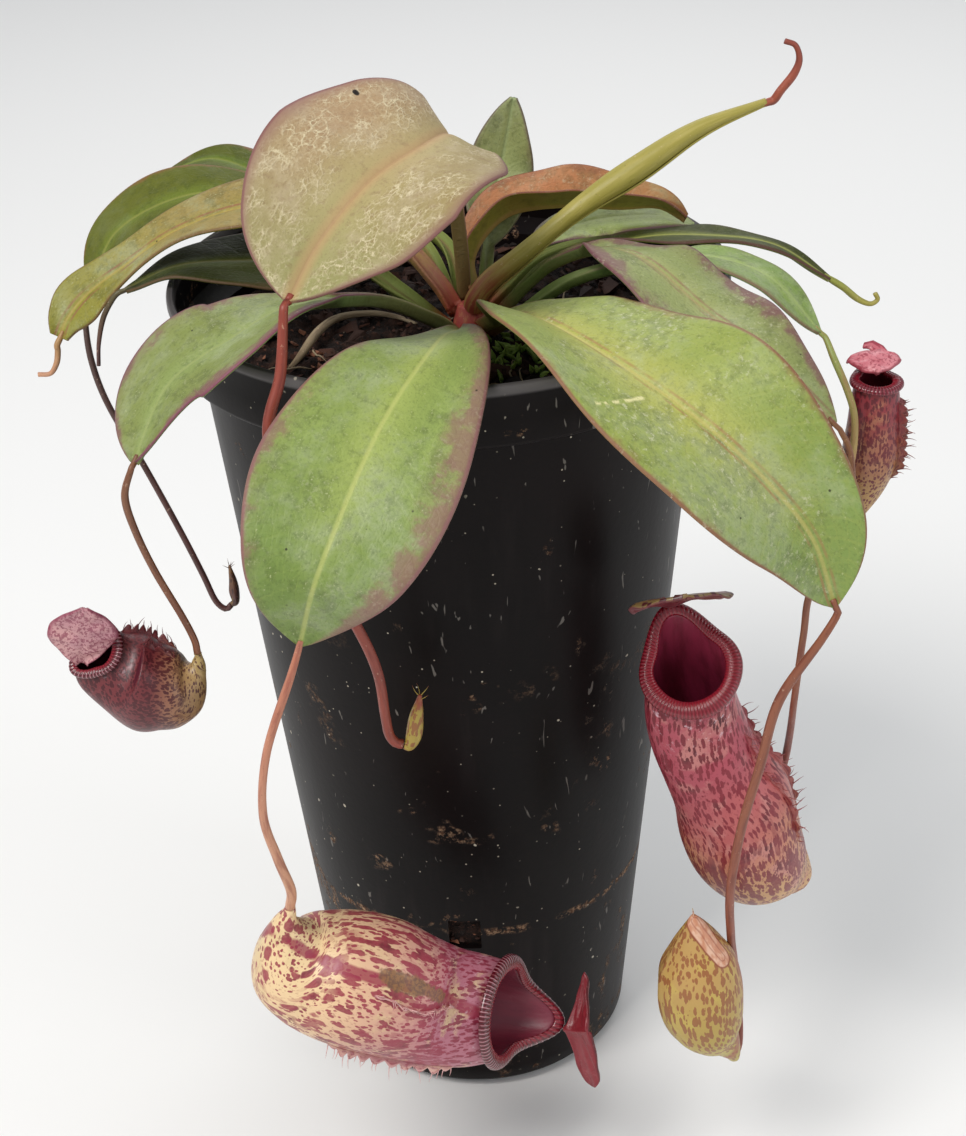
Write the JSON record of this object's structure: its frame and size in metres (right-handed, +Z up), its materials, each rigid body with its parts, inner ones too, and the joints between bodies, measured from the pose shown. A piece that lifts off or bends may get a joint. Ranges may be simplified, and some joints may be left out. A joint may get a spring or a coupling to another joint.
{
  "type": "potted pitcher plant",
  "caption": "Tropical pitcher plant with broad waxy leaves and hanging lidded pitchers on long tendrils, rooted in dark mix in a deep plain nursery pot.",
  "frame": {"origin": "middle of the pot's flat underside, on the surface it stands on", "axes": "+Z up, -Y towards the front, where the largest pitcher hangs, +X to the right"},
  "size_m": [0.2468, 0.2082, 0.3323],
  "materials": {
    "pot_plastic": "satin black moulded plastic",
    "potting_mix": "loose dark bark, peat and coir",
    "stem_tissue": "smooth red-pink stem",
    "leaf_green": "waxy yellow-green leaf, semi-matt",
    "leaf_dark_green": "waxy dark green leaf",
    "leaf_bronze": "bronze-green leaf with pale dusty scurf",
    "leaf_olive": "olive leaf with a yellow near half",
    "leaf_blush": "pink-orange new leaf with olive underside",
    "leaf_young": "rolled yellow-olive new leaf",
    "tendril_red": "smooth red tendril",
    "tendril_salmon": "smooth salmon tendril",
    "tendril_brown": "smooth brown-red tendril",
    "tendril_dark": "smooth dark tendril",
    "tendril_mustard": "yellow-green tendril",
    "pitcher_cream": "cream cup with crimson blotches, satin",
    "pitcher_magenta": "pink to tan cup with dark red streaks, satin",
    "pitcher_tan": "tan cup with red spots, satin",
    "pitcher_plum": "dark plum cup with a tan foot, satin",
    "pitcher_mustard": "yellow-olive unopened pitcher with rust streaks",
    "pitcher_lip": "hard glossy dark red ribbed lip",
    "pitcher_lid": "thin dark red lid",
    "pitcher_pink_lid": "thin pink mottled lid"
  },
  "bodies": {
    "root": {"pot": "pot_plastic", "potting_mix": "potting_mix", "stem": "stem_tissue", "leaf_front": "leaf_green", "leaf_front_right": "leaf_green", "leaf_arched_bronze": "leaf_bronze", "leaf_front_left": "leaf_green", "leaf_right": "leaf_green", "leaf_right_back": "leaf_green", "leaf_left": "leaf_olive", "leaf_left_back": "leaf_dark_green", "leaf_left_far": "leaf_dark_green", "leaf_left_low": "leaf_dark_green", "leaf_blush_arched": "leaf_blush", "leaf_back_light": "leaf_green", "leaf_back_narrow": "leaf_dark_green", "leaf_upright": "leaf_green", "leaf_rolled": "leaf_young", "tendril_front": "tendril_salmon", "tendril_arched_bronze": "tendril_red", "tendril_front_right": "tendril_brown", "tendril_right": "tendril_brown", "tendril_front_left": "tendril_brown", "tendril_left": "tendril_salmon", "tendril_left_back": "tendril_dark", "tendril_left_low": "tendril_dark", "tendril_right_back": "tendril_salmon", "tendril_back_narrow": "tendril_mustard", "tendril_rolled": "tendril_red", "pitcher_front_cup": "pitcher_cream", "pitcher_front_lip": "pitcher_lip", "pitcher_front_lid": "pitcher_lid", "pitcher_right_cup": "pitcher_magenta", "pitcher_right_lip": "pitcher_lip", "pitcher_right_lid": "pitcher_lid", "pitcher_far_right_cup": "pitcher_tan", "pitcher_far_right_lip": "pitcher_lip", "pitcher_far_right_lid": "pitcher_pink_lid", "pitcher_left_cup": "pitcher_plum", "pitcher_left_lip": "pitcher_lip", "pitcher_left_lid": "pitcher_pink_lid", "young_pitcher_right": "pitcher_mustard", "young_pitcher_front": "pitcher_mustard", "young_pitcher_left": "tendril_dark"}
  },
  "joints": []
}
